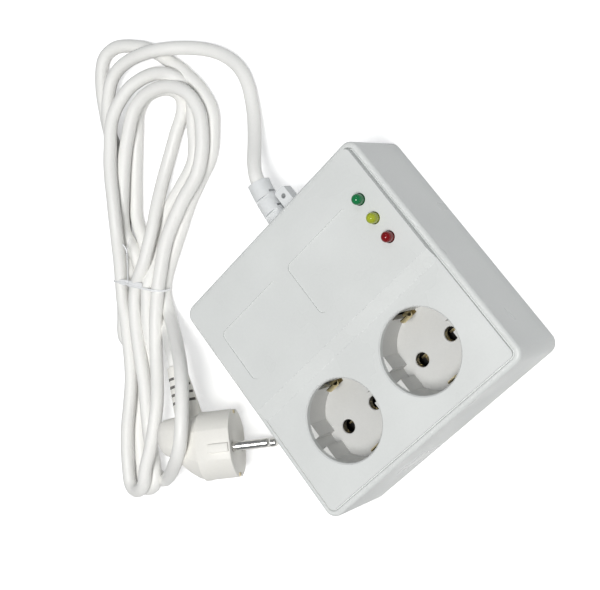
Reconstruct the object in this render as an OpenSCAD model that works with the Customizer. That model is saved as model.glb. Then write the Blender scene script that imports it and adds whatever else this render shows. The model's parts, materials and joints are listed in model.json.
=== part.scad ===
// Surge protector block with two round-well earthed sockets, three signal lamps,
// and a mains cord tied in a hank that ends in an angled plug.
// Millimetres. Origin at the middle of the base, +Z up, +X along the row of
// sockets, +Y towards the wall that the cord leaves.

/* [Housing] */
// Width of the housing at its base, along the row of sockets
base_w = 126.2; // [120:0.2:150]
// Depth of the housing at its base
base_d = 126; // [120:1:150]
// Height of the ledge that runs round the raised panel
body_h = 42; // [38:0.5:50]
// How far each side wall leans in from the base to the ledge
draft = 0.25; // [0.25:0.25:1.5]
// Thickness of the housing's walls and panel
wall = 2.4; // [2:0.1:2.8]
// Radius of the housing's upright corners
corner_r = 5.5; // [4:0.5:8]
// Radius that rounds the ledge's outer edge
edge_r = 1.6; // [0.8:0.1:2.2]
// Thickness of the plate that closes the base
base_plate_t = 3; // [2.6:0.2:4]

/* [Panel] */
// Width of the ledge between the panel and the housing's edge
ledge_w = 3.4; // [2.5:0.1:5]
// Width of the groove between the ledge and the panel, at its mouth
groove_w = 1.7; // [1.2:0.1:2.2]
// Depth of that groove
groove_depth = 0.9; // [0.5:0.1:1.1]
// Height of the lamp half of the panel above the ledge
lamp_rise = 3; // [1.5:0.25:4]
// Height of the socket half of the panel above the ledge
socket_rise = 0.6; // [0.3:0.1:1.2]
// Radius of the panel's corners in plan
panel_r = 2.5; // [1:0.5:4]
// Length of the slope between the two halves of the panel
ramp_run = 6.4; // [4:0.2:9]
// Panel left between the sockets' edge and the foot of the slope
ramp_gap = 4.75; // [3:0.25:7]
// Width of each label recess
label_w = 42; // [30:1:43]
// Depth of each label recess from front to back
label_d = 29; // [20:1:32]
// How deep a label recess is sunk
label_sink = 0.5; // [0.2:0.1:0.8]
// Panel between the two label recesses
label_gap = 8; // [5:0.5:10]
// Distance from the left recess to the panel's left edge
label_edge = 8.7; // [5:0.1:10]
// Distance from the label recesses to the top of the slope
label_front = 11.4; // [8:0.2:14]

/* [Sockets] */
// Distance between the two sockets' axes
socket_pitch = 51.6; // [50:0.2:56]
// Distance from the sockets' axes to the housing's front edge at the base
socket_edge = 31.8; // [30:0.2:36]
// Diameter of each socket well
well_d = 39.5; // [39.2:0.1:40.5]
// Depth of each socket well below the panel
well_depth = 17.5; // [17:0.1:18.5]
// Wall of each moulded cup
cup_wall = 2.2; // [1.8:0.1:2.6]
// Floor of each moulded cup
cup_floor = 4; // [3.4:0.2:4.6]
// Flange by which each cup bears against the panel
flange_w = 1.6; // [1.2:0.1:2]
// Thickness of that flange
flange_t = 2.4; // [1.8:0.2:3]
// Distance between the two pin holes of a socket
pin_pitch = 19; // [18.5:0.1:19.5]
// Diameter of a pin hole
pin_hole_d = 6.8; // [6:0.1:7.2]
// Diameter of the pin hole's broken edge
pin_mouth_d = 7.4; // [7.2:0.1:8]
// Depth of the pin hole's broken edge
pin_mouth_t = 0.3; // [0.2:0.1:0.8]
// Distance between the flats of the two guide blocks in a well
guide_span = 34; // [33:0.2:35]
// Width of a guide block
guide_w = 20.5; // [18:0.5:22]
// Width of the groove down the middle of a guide block
guide_groove = 6; // [5:0.2:7]
// Width of the slot that an earth clip stands in
clip_slot_w = 6; // [5.4:0.2:7]
// Width of an earth clip
clip_w = 4.2; // [4:0.1:5]
// Thickness of an earth clip's brass strip
clip_t = 0.8; // [0.6:0.1:1]
// How far an earth clip bulges into the well
clip_bulge = 3.4; // [2.5:0.1:4]
// Height of that bulge
clip_arch = 8.4; // [7:0.2:9]
// Free end of an earth clip below the flange's top
clip_low = 3.4; // [2.6:0.2:5]
// Distance of a contact bar from the line of pin holes
bar_offset = 9; // [8:0.25:10]
// Width of a contact bar
bar_w = 4; // [3:0.25:5]
// Thickness of the brass of the bars and contacts
bar_t = 0.8; // [0.6:0.1:1]

/* [Signal lamps] */
// Diameter of a lamp's lens
lamp_d = 5; // [4.6:0.1:5.2]
// Diameter of the hole in the panel for a lamp
lamp_hole_d = 5.7; // [5.4:0.1:6.2]
// How far a lamp's dome stands above the panel
lamp_stand = 5; // [4:0.1:6]
// Height of a lamp's lens from its flange to the top of the dome
lamp_h = 8.6; // [8:0.2:9.4]
// Distance between neighbouring lamps
lamp_pitch = 11; // [9:0.5:13]
// Distance from the lamps to the ledge's right edge
lamp_edge = 13.7; // [11:0.1:15]
// Distance of the middle lamp behind the circuit board's middle
lamp_shift = 1.3; // [-1:0.1:3]

/* [Circuit board] */
// Room between the housing's left wall and the circuit board
board_side = 10.1; // [8:0.1:12]
// Circuit board beyond the row of lamps
board_lamp_edge = 5.1; // [4.5:0.1:6]
// Room behind the circuit board for the cord's clamp
clamp_room = 13.4; // [12.8:0.1:15]
// Thickness of the circuit board
board_t = 1.6; // [1.2:0.1:2]
// Height of the circuit board's underside above the base
board_z = 22; // [20:0.5:24]
// Distance from the circuit board to the top of the slope
board_front = 5.4; // [5:0.2:6]
// Room left above the tallest parts on the circuit board
part_clear = 2.5; // [1.5:0.1:4]
// Gap between the parts and the circuit board's front and back edges
row_margin = 1.5; // [1:0.1:2]

/* [Strain relief] */
// Height of the cord's outlet above the base
outlet_z = 21; // [20:0.5:22]
// Radius of the bend relief
relief_r = 5.7; // [5.2:0.1:6.2]
// Radius of the curve that the bend relief takes
relief_bend_r = 95; // [80:5:120]
// Angle through which the bend relief turns
relief_turn = 14; // [10:1:18]
// Distance between the slots along the bend relief
slot_pitch = 4.3; // [4:0.1:4.8]
// Width of a slot
slot_w = 1.2; // [0.8:0.1:1.4]
// Bend relief left whole beyond its last slot
collar_l = 6; // [5:0.5:8]
// Width of the moulded foot behind the bend relief
foot_w = 24; // [22:1:26]
// Height of the moulded foot
foot_h = 14; // [13:0.5:16]
// Thickness of the moulded foot outside the housing's wall
foot_t = 3.8; // [3:0.2:4]
// Width of the eye beside the bend relief
eye_w = 6.6; // [6:0.2:7]
// Length of the eye from the housing's wall
eye_l = 15.4; // [13:0.2:17]
// Diameter of the hole in the eye
eye_hole_d = 2.6; // [2:0.1:3]

/* [Plug] */
// Diameter of the plug's round front
plug_d = 38; // [37:0.2:38.6]
// Length of the plug's round front
plug_front_l = 17.5; // [16:0.5:19]
// Length of the plug's whole body behind its face
plug_l = 35; // [33:0.5:38]
// Distance between the flats on the plug's sides
plug_flat_span = 33.6; // [32.6:0.2:34.4]
// Width of the key rib in the middle of a flat
plug_rib_w = 4.6; // [4:0.2:5.2]
// Diameter of a plug pin
pin_d = 4.8; // [4.7:0.05:4.9]
// Length of a plug pin in front of the plug's face
pin_l = 19; // [18.5:0.5:20]
// Length of the plug's slotted sleeve
sleeve_l = 32; // [28:1:36]
// Radius of the sleeve where it leaves the body
sleeve_root_r = 7.6; // [7:0.2:8]
// Radius of the sleeve's free end
sleeve_tip_r = 5; // [4.6:0.1:5.4]

/* [Cord] */
// Diameter of the cord
cord_d = 7.2; // [6.8:0.1:7.4]
// Height of the hank, two layers of cord
hank_h = 17; // [15:0.5:18]
// Width of the band that ties the hank
tie_w = 2.4; // [2:0.2:3]
// Thickness of that band
tie_t = 0.8; // [0.6:0.1:1]

/* [Hidden] */
$fn = 48;
// A cut reaches this far past the face that it opens
past = 1;
// Gap left round pieces that slide into place
ease = 0.2;

// Housing
top_w = base_w - 2 * draft;
top_d = base_d - 2 * draft;
panel_w = top_w - 2 * ledge_w;
panel_d = top_d - 2 * ledge_w;
socket_panel_z = body_h + socket_rise;
lamp_panel_z = body_h + lamp_rise;
ceiling_z = body_h - wall;
lamp_ceiling_z = lamp_panel_z - wall;
socket_y = socket_edge - base_d / 2;
ramp_foot_y = socket_y + well_d / 2 + ramp_gap;
ramp_top_y = ramp_foot_y + ramp_run;
label_y = ramp_top_y + label_front + label_d / 2;
label_left_x = label_edge + label_w / 2 - panel_w / 2;
lamp_x = top_w / 2 - lamp_edge;

// Fixings
screw_r = 1.4;
screw_hole_r = 1.5;
head_r = 2.8;
head_t = 1.4;
pillar_r = 4;
pillar_inset = 9.5;
pillar_x = base_w / 2 - pillar_inset;
pillar_y = base_d / 2 - pillar_inset;
base_screw_l = 12;
web_t = 1.6;

// Sockets
floor_z = socket_panel_z - well_depth;
cup_r = well_d / 2 + cup_wall;
cup_bottom_z = floor_z - cup_floor;
flange_r = cup_r + flange_w;
clip_back = well_d / 2 + 0.4;
clip_room = clip_back - well_d / 2 + clip_t + ease;
clip_foot_z = cup_bottom_z - clip_t;
carrier_t = 3;
carrier_wall = 2;
carrier_h = 12;
carrier_z = cup_bottom_z - carrier_h;
carrier_d = 2 * (bar_offset + bar_w / 2 + carrier_wall + 2 * ease);
carrier_w = socket_pitch + pin_pitch + 2 * 11;
bar_z = carrier_z + carrier_t;
post_r = 3.5;
post_gap = 20.7;
contact_w = 7;
contact_gap = 4.4;
wire_notch = 3.2;

// Cord's way into the housing
cord_r = cord_d / 2;
outer_wall_y = base_d / 2 - draft * (outlet_z - foot_h / 2) / body_h;
inner_wall_y = base_d / 2 - draft * (outlet_z + foot_h / 2) / body_h - wall;
neck_w = 15.6;
neck_h = 11.6;
inner_flange_t = 2;
inner_flange_y = inner_wall_y - ease - inner_flange_t;

// Circuit board
board_left = wall + board_side - base_w / 2;
board_right = lamp_x + board_lamp_edge;
board_front_y = ramp_top_y + board_front;
board_back_y = inner_flange_y - clamp_room;
board_w = board_right - board_left;
board_d = board_back_y - board_front_y;
board_x = (board_left + board_right) / 2;
board_y = (board_front_y + board_back_y) / 2;
board_top = board_z + board_t;
board_post_r = 3.2;
board_post_in = 4.5;
lamp_post_gap = 10.9;
post_x = lamp_x - lamp_post_gap;
board_posts = [
    [board_left + board_post_in, board_front_y + board_post_in],
    [board_left + board_post_in, board_back_y - board_post_in],
    [post_x, board_front_y + board_post_in],
    [post_x, board_back_y - board_post_in]
];
lamp_mid_y = board_y + lamp_shift;
lead_r = 0.35;

// Parts on the circuit board: sizes, and places along it from its left edge
tall_part_h = lamp_ceiling_z - board_top - part_clear;
relay_size = [20.4, 7.2, tall_part_h - 1.2];
relay_at = 54.5;
capacitor_size = [18, 8.5, tall_part_h];
capacitor_at = 31;
varistor_lead = 2.5;
varistor_r = (tall_part_h - varistor_lead) / 2;
varistor_t = 4.6;
varistor_at = 46;
varistor_pitch = 6.2;
fuse_l = 20;
fuse_r = 2.6;
fuse_axis_z = 5.4;
fuse_at = 32;
fuse_clip = [4, 7.2, 7];
fuse_clip_t = 0.6;
fuse_clip_from_end = 2.5;
terminal_size = [8, 15, 9.5];
terminal_at = 13.5;
terminal_pitch = 5;
electrolytic_r = 2.5;
electrolytic_h = 11.5;
chip_size = [6.4, 9.6, 3.4];
chip_at = 69;

// Cord's end and its clamp
cord_end_y = board_back_y + 4;
clamp_y = (inner_flange_y + cord_end_y) / 2;
clamp_span = 19;
clamp_post_r = 3.4;
clamp_bar_t = 5.2;
clamp_gap = 1;
relief_start_y = outer_wall_y + foot_t;

// Plug, placed by its face's middle and turned roll, pitch and yaw
plug_at = [-98.7, 1.2, 18];
plug_turn = [-8, 21.5, -33];
pin_root = 12;
pin_stem_r = pin_d / 2 - 0.4;
sleeve_lean = 9;
sleeve_from = [-23.5, 13, 0];
plug_back_r = 6;
// Turns a place or a heading from the plug's own frame into the part's
function turned(v) =
    let (
        rx = plug_turn[0], ry = plug_turn[1], rz = plug_turn[2],
        a = [v[0], v[1] * cos(rx) - v[2] * sin(rx), v[1] * sin(rx) + v[2] * cos(rx)],
        b = [a[0] * cos(ry) + a[2] * sin(ry), a[1], a[2] * cos(ry) - a[0] * sin(ry)]
    )
    [b[0] * cos(rz) - b[1] * sin(rz), b[0] * sin(rz) + b[1] * cos(rz), b[2]];
sleeve_line = [-sin(sleeve_lean), cos(sleeve_lean), 0];
sleeve_tip = plug_at + turned(sleeve_from + sleeve_l * sleeve_line);
sleeve_heading = turned(sleeve_line);

cord_sides = 12;

// Middle and heading of the bend relief's free end
relief_tip = [
    relief_bend_r * (1 - cos(relief_turn)), relief_start_y + relief_bend_r * sin(relief_turn), outlet_z
];
relief_heading = [sin(relief_turn), cos(relief_turn), 0];

// Routes of the cord's free stretches, ring centres chosen along its lie
lead_route = [
    relief_tip, relief_tip + 3 * relief_heading, [5, 97, 19.2], [7, 103.5, 15.6], [9.5, 110, 11.5],
    [12.5, 117, 7.8], [16, 124, 5.2], [19.5, 131, 3.9], [23, 138, 3.6], [25, 145, 3.6],
    [25, 152, 3.6], [23, 159.5, 3.7], [19.5, 167, 4.1], [14.5, 174.5, 5.2], [8, 181.5, 7],
    [1, 187.3, 9.2], [-3, 190.2, 10]
];
bight_route = [
    [-88.3, 91.5, 5.8], [-88, 85.5, 8.6], [-87.3, 78.5, 12.8], [-86.6, 67.5, 20.3], [-87, 57, 27],
    [-88.4, 48.5, 32.3], [-90.6, 41, 36.2], [-93.8, 34.5, 39], [-97.8, 28.3, 41], [-102.7, 22.8, 42.2],
    [-108.2, 18.6, 42.7], [-114.2, 15.6, 41.9], [-121, 13.6, 39.4], [-129, 13.2, 33.8],
    [-138.5, 14.4, 25.9], [-148, 16.3, 17.6], [-154.5, 17.8, 11.7], [-159, 18.8, 8]
];
tail_route = [
    [-95.4, 86.5, 6], [-95.6, 79.5, 10], [-96, 72, 15], [-96.4, 65, 19.6],
    sleeve_tip + 4 * sleeve_heading, sleeve_tip
];

// Hank, measured along its length and across it from the tie
hank_at = [-96, 107, 0];
hank_turn = 46.8;
waist_r = 18;
hank_loops = [[107, 11, 24], [96, -6, 28], [86, -23.5, 24.5]];
hank_foot = [[-100, 1, 19]];
waist_across = 1;

function unit(v) = v / norm(v);
function heading(p, i) = unit(p[min(i + 1, len(p) - 1)] - p[max(i - 1, 0)]);
// A side vector for each ring, carried along the route without twisting
function carried(p, i = 0, side = [0.3, 0.1, 1]) =
    i >= len(p) ? [] :
    let (t = heading(p, i), u = unit(side - (side * t) * t))
    concat([u], carried(p, i + 1, u));
function ring(c, t, u, r, n) =
    let (v = cross(t, u))
    [for (k = [0 : n - 1]) c + r * (cos(360 * k / n) * u + sin(360 * k / n) * v)];

// Round tube along a list of ring centres
module tube(route, r, n) {
    sides = carried(route);
    count = len(route);
    points = [for (i = [0 : count - 1]) each ring(route[i], heading(route, i), sides[i], r, n)];
    walls = [
        for (i = [0 : count - 2], k = [0 : n - 1])
            let (a = i * n + k, b = i * n + (k + 1) % n)
            [a, a + n, b + n, b]
    ];
    first = [for (k = [0 : n - 1]) k];
    last = [for (k = [n - 1 : -1 : 0]) (count - 1) * n + k];
    polyhedron(points, concat(walls, [first], [last]), convexity = 6);
}

// Rectangle with round corners
module round_rect(w, d, r) {
    square([w - 2 * r, d], center = true);
    square([w, d - 2 * r], center = true);
    for (x = [-1, 1], y = [-1, 1])
        translate([x * (w / 2 - r), y * (d / 2 - r)]) circle(r);
}

module at_corners(x, y) {
    for (sx = [-1, 1], sy = [-1, 1]) translate([sx * x, sy * y, 0]) children();
}

// Block whose walls lean in and whose upper edge is rounded
module drafted_block(w, d, h, r, lean, round_r) {
    hull() {
        at_corners(w / 2 - r, d / 2 - r) cylinder(r = r, h = 0.5, $fn = 32);
        at_corners(w / 2 - lean - r, d / 2 - lean - r)
            translate([0, 0, h - round_r])
                rotate_extrude($fn = 32)
                    translate([r - round_r, 0]) intersection() {
                        circle(round_r, $fn = 32);
                        square(round_r + past);
                    }
    }
}

module panel_blank() {
    intersection() {
        translate([0, 0, ceiling_z + wall / 2])
            linear_extrude(lamp_rise + wall + past) round_rect(panel_w, panel_d, panel_r);
        translate([-panel_w / 2 - past, 0, 0]) rotate([90, 0, 90])
            linear_extrude(panel_w + 2 * past) polygon([
                [-panel_d / 2 - past, ceiling_z], [panel_d / 2 + past, ceiling_z],
                [panel_d / 2 + past, lamp_panel_z], [ramp_top_y, lamp_panel_z],
                [ramp_foot_y, socket_panel_z], [-panel_d / 2 - past, socket_panel_z]
            ]);
    }
}

// Tapered block that leaves the groove round the panel in the ledge
module groove_blank() {
    foot_w = groove_w / 4;
    hull() {
        for (p = [[foot_w, -groove_depth], [groove_w, past]])
            translate([0, 0, body_h + p[1]]) linear_extrude(0.01)
                round_rect(panel_w + 2 * p[0], panel_d + 2 * p[0], panel_r + p[0]);
    }
}

module housing_cavity() {
    inner_r = corner_r - wall;
    hull() {
        at_corners(base_w / 2 - corner_r, base_d / 2 - corner_r)
            translate([0, 0, -past]) cylinder(r = inner_r, h = past + 0.5, $fn = 32);
        at_corners(top_w / 2 - corner_r, top_d / 2 - corner_r)
            translate([0, 0, ceiling_z - 0.5]) cylinder(r = inner_r, h = 0.5, $fn = 32);
    }
    lamp_pocket_y = ramp_top_y + wall;
    pocket_back_y = panel_d / 2 - wall;
    translate([wall - panel_w / 2, lamp_pocket_y, ceiling_z - past])
        cube([panel_w - 2 * wall, pocket_back_y - lamp_pocket_y, lamp_ceiling_z - ceiling_z + past]);
}

module label_recess(x) {
    translate([x, label_y, lamp_panel_z - label_sink])
        linear_extrude(label_sink + past) round_rect(label_w, label_d, 3);
}

// Pillars, webs and posts that hang from the inside of the housing
module housing_posts() {
    at_corners(pillar_x, pillar_y)
        translate([0, 0, base_plate_t]) cylinder(r = pillar_r, h = ceiling_z - base_plate_t + 0.5);
    for (sx = [-1, 1], sy = [-1, 1]) {
        reach = pillar_inset - wall / 2;
        translate([sx * (pillar_x + reach / 2), sy * pillar_y, (base_plate_t + ceiling_z) / 2])
            cube([reach, web_t, ceiling_z - base_plate_t - 8], center = true);
        translate([sx * pillar_x, sy * (pillar_y + reach / 2), (base_plate_t + ceiling_z) / 2])
            cube([web_t, reach, ceiling_z - base_plate_t - 8], center = true);
    }
    for (sy = [-1, 1])
        translate([0, socket_y + sy * post_gap, bar_z])
            cylinder(r = post_r, h = ceiling_z - bar_z + 0.5);
    for (p = board_posts)
        translate([p[0], p[1], board_top]) cylinder(r = board_post_r, h = lamp_ceiling_z - board_top + 0.5);
    for (sx = [-1, 1])
        translate([sx * clamp_span / 2, clamp_y, outlet_z - clamp_gap])
            cylinder(r = clamp_post_r, h = lamp_ceiling_z - outlet_z + clamp_gap + 0.5);
    difference() {
        translate([-clamp_span / 2, clamp_y - web_t, outlet_z])
            cube([clamp_span, 2 * web_t, lamp_ceiling_z - outlet_z + 0.5]);
        translate([0, clamp_y, outlet_z]) rotate([90, 0, 0])
            cylinder(r = cord_r + ease / 2, h = 4 * web_t, center = true);
        translate([-cord_r - ease / 2, clamp_y - 2 * web_t, outlet_z - past])
            cube([cord_d + ease, 4 * web_t, past]);
    }
}

module post_holes() {
    at_corners(pillar_x, pillar_y)
        translate([0, 0, base_plate_t - past]) cylinder(r = screw_hole_r, h = base_screw_l + past);
    for (sy = [-1, 1])
        translate([0, socket_y + sy * post_gap, bar_z - past])
            cylinder(r = screw_hole_r, h = 9 + past);
    for (p = board_posts)
        translate([p[0], p[1], board_top - past]) cylinder(r = screw_hole_r, h = 8 + past);
    for (sx = [-1, 1])
        translate([sx * clamp_span / 2, clamp_y, outlet_z - clamp_gap - past])
            cylinder(r = screw_hole_r, h = 9 + past);
}

module housing() {
    color([0.855, 0.865, 0.86]) difference() {
        union() {
            difference() {
                union() {
                    difference() {
                        drafted_block(base_w, base_d, body_h, corner_r, draft, edge_r);
                        groove_blank();
                    }
                    panel_blank();
                }
                housing_cavity();
            }
            housing_posts();
        }
        post_holes();
        for (x = [-1, 1]) translate([x * socket_pitch / 2, socket_y, ceiling_z - past]) {
            cylinder(d = well_d, h = socket_rise + wall + 2 * past, $fn = 96);
            translate([0, 0, socket_panel_z - ceiling_z + past - 0.6])
                cylinder(d1 = well_d, d2 = well_d + 1.4, h = 0.7, $fn = 96);
        }
        for (i = [-1 : 1]) translate([lamp_x, lamp_mid_y + i * lamp_pitch, lamp_ceiling_z - past])
            cylinder(d = lamp_hole_d, h = wall + 2 * past);
        label_recess(label_left_x);
        label_recess(label_left_x + label_w + label_gap);
        translate([0, base_d / 2, outlet_z])
            cube([neck_w + ease, 4 * wall, neck_h + ease], center = true);
    }
}

module base_plate() {
    plate_w = base_w - 2 * wall - 2 * ease;
    plate_d = base_d - 2 * wall - 2 * ease;
    color([0.82, 0.83, 0.83]) difference() {
        linear_extrude(base_plate_t) round_rect(plate_w, plate_d, corner_r - wall);
        at_corners(pillar_x, pillar_y) {
            translate([0, 0, -past]) cylinder(r = screw_hole_r + 0.2, h = base_plate_t + 2 * past);
            translate([0, 0, -past]) cylinder(r = head_r + 0.3, h = head_t + 0.2 + past);
        }
    }
}

// Pan-head screw that points up, its head's seat at z = 0
module screw(l) {
    cylinder(r = screw_r, h = l);
    difference() {
        translate([0, 0, -head_t]) cylinder(r = head_r, h = head_t);
        for (a = [0, 90]) rotate(a)
            translate([-1.6, -0.35, -head_t - past]) cube([3.2, 0.7, past + 0.7]);
    }
}

module base_screws() {
    color("silver") at_corners(pillar_x, pillar_y)
        translate([0, 0, head_t + 0.2]) screw(base_screw_l);
}

// Ring segment that fills a well outside a flat, cut by its middle groove
module guide_block() {
    intersection() {
        translate([0, 0, floor_z - 0.5]) cylinder(r = well_d / 2 + cup_wall / 2, h = ceiling_z - floor_z + 0.5);
        for (s = [-1, 1])
            translate([guide_span / 2, s * (guide_w + guide_groove) / 4, floor_z - 0.5])
                translate([0, (guide_groove - guide_w) / 4, 0])
                    cube([well_d, (guide_w - guide_groove) / 2, ceiling_z - floor_z + 0.5]);
    }
}

// Moulded cup: well, floor, guide blocks, pin holes and slots for the earth clips
module socket_cup() {
    difference() {
        union() {
            translate([0, 0, cup_bottom_z]) cylinder(r = cup_r, h = ceiling_z - cup_bottom_z, $fn = 96);
            translate([0, 0, ceiling_z - flange_t]) cylinder(r = flange_r, h = flange_t, $fn = 96);
        }
        difference() {
            translate([0, 0, floor_z]) cylinder(d = well_d, h = ceiling_z - floor_z + past, $fn = 96);
            for (a = [0, 180]) rotate(a) guide_block();
        }
        for (s = [-1, 1]) translate([s * pin_pitch / 2, 0, 0]) {
            translate([0, 0, cup_bottom_z - past]) cylinder(d = pin_hole_d, h = cup_floor + 2 * past);
            translate([0, 0, floor_z - pin_mouth_t])
                cylinder(d1 = pin_hole_d, d2 = pin_mouth_d, h = pin_mouth_t + 0.01);
        }
        for (s = [-1, 1]) translate([-clip_slot_w / 2, s > 0 ? 0 : -cup_r, 0]) {
            translate([0, s > 0 ? well_d / 2 - 1.6 : -past, cup_bottom_z - past])
                cube([clip_slot_w, cup_r - well_d / 2 + 1.6 + past, cup_floor + past + 0.01]);
            translate([0, s > 0 ? well_d / 2 - 1 : -past, cup_bottom_z])
                cube([clip_slot_w, cup_r - well_d / 2 + 1 + past, ceiling_z - flange_t - cup_bottom_z]);
            translate([0, s > 0 ? well_d / 2 - 1 : cup_r - well_d / 2 - clip_room, cup_bottom_z])
                cube([clip_slot_w, clip_room + 1, ceiling_z - cup_bottom_z + past]);
        }
    }
}

// Brass strip under a cup's floor that rises on both sides as sprung earth clips
module earth_clip() {
    half = clip_arch / 2;
    bulge_z = ceiling_z - clip_low - half;
    reach = clip_back - well_d / 2 + clip_bulge;
    front = [for (a = [45 : 15 : 165]) [clip_back - reach * sin(a), bulge_z + half * cos(a)]];
    back = [for (a = [15 : 15 : 135])
        [clip_back - (reach - clip_t) * sin(a), bulge_z - (half - clip_t) * cos(a)]];
    for (s = [-1, 1]) mirror([0, s > 0 ? 0 : 1, 0])
        translate([-clip_w / 2, 0, 0]) rotate([90, 0, 90]) linear_extrude(clip_w) polygon(concat(
            [[0, clip_foot_z], [clip_back + clip_t, clip_foot_z],
             [clip_back + clip_t, bulge_z - half + clip_t]],
            back, front,
            [[clip_back, bulge_z - half], [clip_back, cup_bottom_z], [0, cup_bottom_z]]
        ));
}

// Sprung contact under a pin hole, with a tab out to its bar
module pin_contact(side) {
    leaf_h = carrier_h - carrier_t - 4.6;
    translate([-contact_w / 2, -contact_gap / 2 - bar_t, bar_z])
        cube([contact_w, contact_gap + 2 * bar_t, bar_t]);
    for (s = [-1, 1])
        translate([-contact_w / 2, s * (contact_gap + bar_t) / 2 - bar_t / 2, bar_z])
            cube([contact_w, bar_t, leaf_h]);
    translate([-bar_w / 2, side > 0 ? 0 : -bar_offset, bar_z]) cube([bar_w, bar_offset, bar_t]);
}

// Bar that joins one pole of both sockets
module contact_bar(side) {
    left = -socket_pitch / 2 - side * pin_pitch / 2;
    right = socket_pitch / 2 - side * pin_pitch / 2;
    translate([0, socket_y, 0]) {
        for (x = [left, right]) translate([x, 0, 0]) pin_contact(side);
        translate([left - bar_w / 2, side * bar_offset - bar_w / 2, bar_z])
            cube([right - left + bar_w, bar_w, bar_t]);
    }
}

module contact_carrier() {
    ear_y = post_gap + post_r + 1;
    color([0.93, 0.92, 0.88]) translate([0, socket_y, 0]) difference() {
        union() {
            translate([-carrier_w / 2, -carrier_d / 2, carrier_z]) cube([carrier_w, carrier_d, carrier_h]);
            translate([-post_r - 1, -ear_y, carrier_z]) cube([2 * post_r + 2, 2 * ear_y, carrier_t]);
        }
        translate([carrier_wall - carrier_w / 2, carrier_wall - carrier_d / 2, bar_z])
            cube([carrier_w - 2 * carrier_wall, carrier_d - 2 * carrier_wall, carrier_h]);
        for (x = [-1, 1])
            translate([x * socket_pitch / 2 - clip_w / 2 - ease, -carrier_d / 2 - past, clip_foot_z - ease])
                cube([clip_w + 2 * ease, carrier_d + 2 * past, carrier_h]);
        for (s = [-1, 1]) translate([0, s * post_gap, carrier_z - past])
            cylinder(r = screw_hole_r + 0.2, h = carrier_t + 2 * past);
        translate([live_notch_x - wire_notch / 2, 0, bar_z + 0.4]) cube([wire_notch, carrier_d, carrier_h]);
        translate([0, -bar_offset - wire_notch / 2, bar_z + 0.4]) cube([carrier_w, wire_notch, carrier_h]);
    }
}

module carrier_screws() {
    color("silver") for (s = [-1, 1])
        translate([0, socket_y + s * post_gap, carrier_z]) screw(carrier_t + 7);
}

// Signal lamp: flange, lens with a domed top, and two leads down to the board
module signal_lamp(i, shade) {
    foot_z = lamp_panel_z + lamp_stand - lamp_h;
    r = lamp_d / 2;
    color(shade) translate([lamp_x, lamp_mid_y + i * lamp_pitch, 0]) {
        translate([0, 0, foot_z]) rotate_extrude() {
            square([r + 0.4, 1]);
            square([r, lamp_h - r]);
            translate([0, lamp_h - r]) intersection() {
                circle(r);
                square(r);
            }
        }
        for (s = [-1, 1]) translate([0, s * 1.27, board_top])
            cylinder(r = lead_r, h = foot_z - board_top + 0.5);
    }
}

module circuit_board() {
    color([0.16, 0.42, 0.24]) difference() {
        translate([board_x, board_y, board_z]) linear_extrude(board_t)
            square([board_w, board_d], center = true);
        for (p = board_posts) translate([p[0], p[1], board_z - past])
            cylinder(r = screw_hole_r + 0.1, h = board_t + 2 * past);
    }
}

module board_screws() {
    color("silver") for (p = board_posts) translate([p[0], p[1], board_z]) screw(board_t + 6);
}

// Places a part on the board: distance from its left edge, and from its middle towards the back
module on_board(x, y = 0) {
    translate([board_left + x, board_y + y, board_top]) children();
}
// Middle of a part of that depth in the front row or the back row
function front_row(depth) = row_margin + depth / 2 - board_d / 2;
function back_row(depth) = board_d / 2 - row_margin - depth / 2;

module relay() {
    color([0.12, 0.3, 0.62]) on_board(relay_at, front_row(relay_size[1]))
        linear_extrude(relay_size[2]) round_rect(relay_size[0], relay_size[1], 0.8);
}

module film_capacitor() {
    color([0.85, 0.78, 0.25]) on_board(capacitor_at, front_row(capacitor_size[1]))
        linear_extrude(capacitor_size[2]) round_rect(capacitor_size[0], capacitor_size[1], 1);
}

module varistor(i) {
    lead_y = 3.75;
    color([0.2, 0.35, 0.75]) on_board(varistor_at + varistor_pitch * i, back_row(2 * varistor_r)) {
        translate([-varistor_t / 2, 0, varistor_r + varistor_lead]) rotate([0, 90, 0])
            cylinder(r = varistor_r, h = varistor_t);
        for (s = [-1, 1]) translate([0, s * lead_y, 0])
            cylinder(r = lead_r + 0.05, h = varistor_lead + varistor_r / 2);
    }
}

module fuse() {
    color([0.8, 0.82, 0.82]) on_board(fuse_at, back_row(fuse_clip[1]))
        translate([-fuse_l / 2, 0, fuse_axis_z]) rotate([0, 90, 0]) cylinder(r = fuse_r, h = fuse_l);
}

module fuse_clips() {
    cheek_t = fuse_clip[1] / 2 - fuse_r - ease;
    color([0.8, 0.7, 0.4]) for (s = [-1, 1])
        on_board(fuse_at + s * (fuse_l / 2 - fuse_clip_from_end), back_row(fuse_clip[1]))
            translate([-fuse_clip[0] / 2, 0, 0]) {
                translate([0, -fuse_clip[1] / 2, 0]) cube([fuse_clip[0], fuse_clip[1], fuse_clip_t]);
                for (y = [-fuse_clip[1] / 2, fuse_clip[1] / 2 - cheek_t]) translate([0, y, 0])
                    cube([fuse_clip[0], cheek_t, fuse_clip[2]]);
                translate([0, -0.5, 0]) cube([fuse_clip[0], 1, fuse_axis_z - fuse_r]);
            }
}

module terminal_block() {
    color([0.25, 0.45, 0.3]) difference() {
        on_board(terminal_at) linear_extrude(terminal_size[2])
            square([terminal_size[0], terminal_size[1]], center = true);
        for (i = [-1 : 1]) on_board(terminal_at, i * terminal_pitch) translate([0, 0, 4]) {
            cylinder(r = 1.7, h = terminal_size[2]);
            rotate([0, 90, 0]) cylinder(r = 1.4, h = terminal_size[2]);
        }
    }
}

module electrolytic_capacitor() {
    color([0.15, 0.15, 0.2]) on_board(post_x - board_left) cylinder(r = electrolytic_r, h = electrolytic_h);
}

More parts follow.
